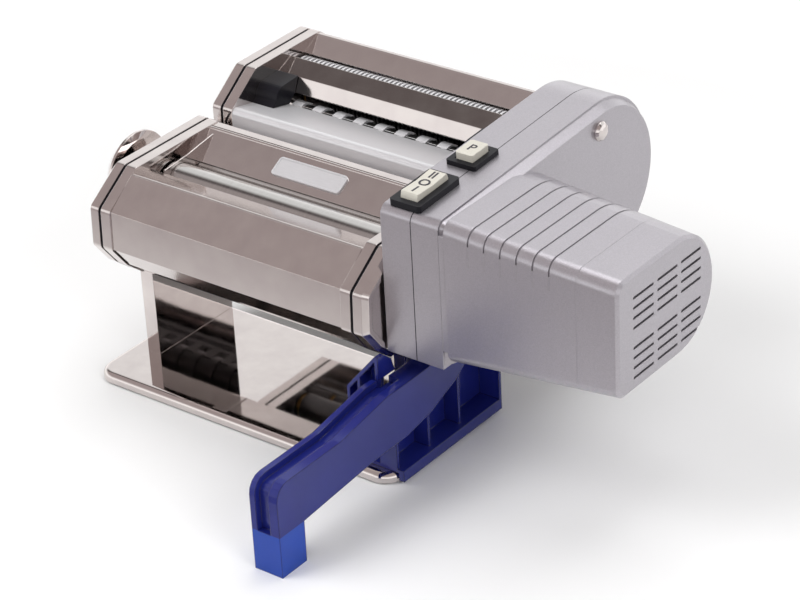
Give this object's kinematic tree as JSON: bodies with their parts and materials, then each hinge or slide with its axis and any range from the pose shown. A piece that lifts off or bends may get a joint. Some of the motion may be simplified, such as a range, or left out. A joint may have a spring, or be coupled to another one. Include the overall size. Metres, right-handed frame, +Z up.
{
  "type": "electric pasta maker",
  "caption": "Electric pasta maker: smooth sheet rollers with a thickness knob, wide and fine cutters, a motor unit with switches, and a braced base.",
  "frame": {"origin": "centre of the base pan, on the table", "axes": "+X from the thickness knob to the motor, -Y to the front, +Z up"},
  "size_m": [0.3771, 0.3293, 0.1845],
  "materials": {
    "chrome": "polished",
    "steel": "satin",
    "bronze": "satin",
    "rubber": "matte",
    "silver_plastic": "silver metallic satin",
    "black_plastic": "satin",
    "cream_plastic": "satin",
    "gear_plastic": "satin",
    "blue_plastic": "polished"
  },
  "bodies": {
    "housing": {"base_plate": "chrome", "base_feet": "rubber", "leg_left": "chrome", "leg_right": "chrome", "leg_screws": "steel", "head_frame_left": "chrome", "head_frame_right": "chrome", "cap_spacers": "black_plastic", "head_cap_left": "chrome", "head_cap_right": "chrome", "front_cover": "chrome", "back_cover": "chrome", "hopper_front_plate": "chrome", "hopper_rear_plate": "chrome", "badge_plate": "steel", "hopper_guides": "chrome", "tie_rods": "steel", "roller_scrapers": "steel", "roller_bushes": "bronze", "cutter_rails": "chrome", "cutter_frame_left": "chrome", "cutter_frame_right": "chrome", "cutter_cap_left": "chrome", "cutter_cap_right": "chrome", "cutter_front_guide": "chrome", "cutter_middle_bar": "chrome", "cutter_rear_sheet": "chrome", "cutter_cheeks": "black_plastic", "cutter_bushes": "bronze", "wide_comb": "steel", "fine_comb": "steel", "gearbox_inner_shell": "silver_plastic", "gearbox_outer_shell": "silver_plastic", "motor_end_cover": "silver_plastic", "housing_screws": "chrome", "cord_gland": "rubber", "idler_axle": "steel", "motor_can": "steel", "rocker_frame": "black_plastic", "pulse_frame": "black_plastic", "switch_bodies": "black_plastic", "support_bracket": "blue_plastic", "support_arm": "blue_plastic"},
    "driven_roller": {"roller_driven": "steel", "drive_gear_roller": "gear_plastic"},
    "carriage": {"adjuster_carriage": "steel"},
    "adjustable_roller": {"roller_adjustable": "steel"},
    "spindle": {"adjuster_spindle": "steel"},
    "knob": {"adjuster_knob": "chrome"},
    "wide_front": {"wide_cutter_front": "steel", "drive_gear_wide": "gear_plastic"},
    "wide_rear": {"wide_cutter_rear": "steel"},
    "fine_front": {"fine_cutter_front": "steel"},
    "fine_rear": {"fine_cutter_rear": "steel", "drive_gear_fine": "gear_plastic"},
    "reduction": {"reduction_gear": "gear_plastic"},
    "rotor": {"motor_rotor": "steel", "cooling_fan": "black_plastic"},
    "rocker": {"rocker_switch": "cream_plastic"},
    "pulse": {"pulse_button": "cream_plastic"}
  },
  "joints": [
    {"name": "driven_roller_spin", "type": "hinge", "parent": "housing", "child": "driven_roller", "pos_m": [0, 0.0303, 0.118], "axis": [1, 0, 0], "continuous": true},
    {"name": "carriage_slide", "type": "slide", "parent": "housing", "child": "carriage", "axis": [0, -1, 0], "range_m": [0, 0.0026]},
    {"name": "adjustable_roller_spin", "type": "hinge", "parent": "carriage", "child": "adjustable_roller", "pos_m": [0, 0.002, 0.118], "axis": [1, 0, 0], "continuous": true},
    {"name": "thickness_turn", "type": "hinge", "parent": "housing", "child": "spindle", "pos_m": [0, 0.002, 0.118], "axis": [1, 0, 0], "range_deg": [0, 240]},
    {"name": "knob_pull", "type": "slide", "parent": "spindle", "child": "knob", "axis": [-1, 0, 0], "range_m": [0, 0.003], "stiffness_N_per_m": 600, "springref_m": -0.001},
    {"name": "wide_front_spin", "type": "hinge", "parent": "housing", "child": "wide_front", "pos_m": [0, 0.096, 0.1245], "axis": [1, 0, 0], "continuous": true},
    {"name": "wide_rear_spin", "type": "hinge", "parent": "housing", "child": "wide_rear", "pos_m": [0, 0.10799, 0.108], "axis": [1, 0, 0], "continuous": true},
    {"name": "fine_front_spin", "type": "hinge", "parent": "housing", "child": "fine_front", "pos_m": [0, 0.124, 0.1395], "axis": [1, 0, 0], "continuous": true},
    {"name": "fine_rear_spin", "type": "hinge", "parent": "housing", "child": "fine_rear", "pos_m": [0, 0.13738, 0.1241], "axis": [1, 0, 0], "continuous": true},
    {"name": "reduction_spin", "type": "hinge", "parent": "housing", "child": "reduction", "pos_m": [0, -0.00899, 0.13061], "axis": [1, 0, 0], "continuous": true},
    {"name": "rotor_spin", "type": "hinge", "parent": "housing", "child": "rotor", "pos_m": [0, 0.01501, 0.13003], "axis": [1, 0, 0], "continuous": true},
    {"name": "rocker_tilt", "type": "hinge", "parent": "housing", "child": "rocker", "pos_m": [0, -0.01585, 0.17647], "axis": [1, 0, 0], "range_deg": [-10, 10]},
    {"name": "pulse_press", "type": "slide", "parent": "housing", "child": "pulse", "axis": [0, 0.0576, -0.9983], "range_m": [0, 0.0025], "stiffness_N_per_m": 400, "springref_m": -0.001}
  ],
  "couplings": [
    {"joint": "adjustable_roller_spin", "follows": "driven_roller_spin", "ratio": -1},
    {"joint": "wide_front_spin", "follows": "driven_roller_spin", "ratio": -1},
    {"joint": "wide_rear_spin", "follows": "driven_roller_spin", "ratio": 1},
    {"joint": "fine_rear_spin", "follows": "driven_roller_spin", "ratio": 1},
    {"joint": "fine_front_spin", "follows": "driven_roller_spin", "ratio": -1},
    {"joint": "reduction_spin", "follows": "driven_roller_spin", "ratio": -4},
    {"joint": "rotor_spin", "follows": "driven_roller_spin", "ratio": 12},
    {"joint": "thickness_turn", "follows": "carriage_slide", "rad_per_m": 1611}
  ]
}
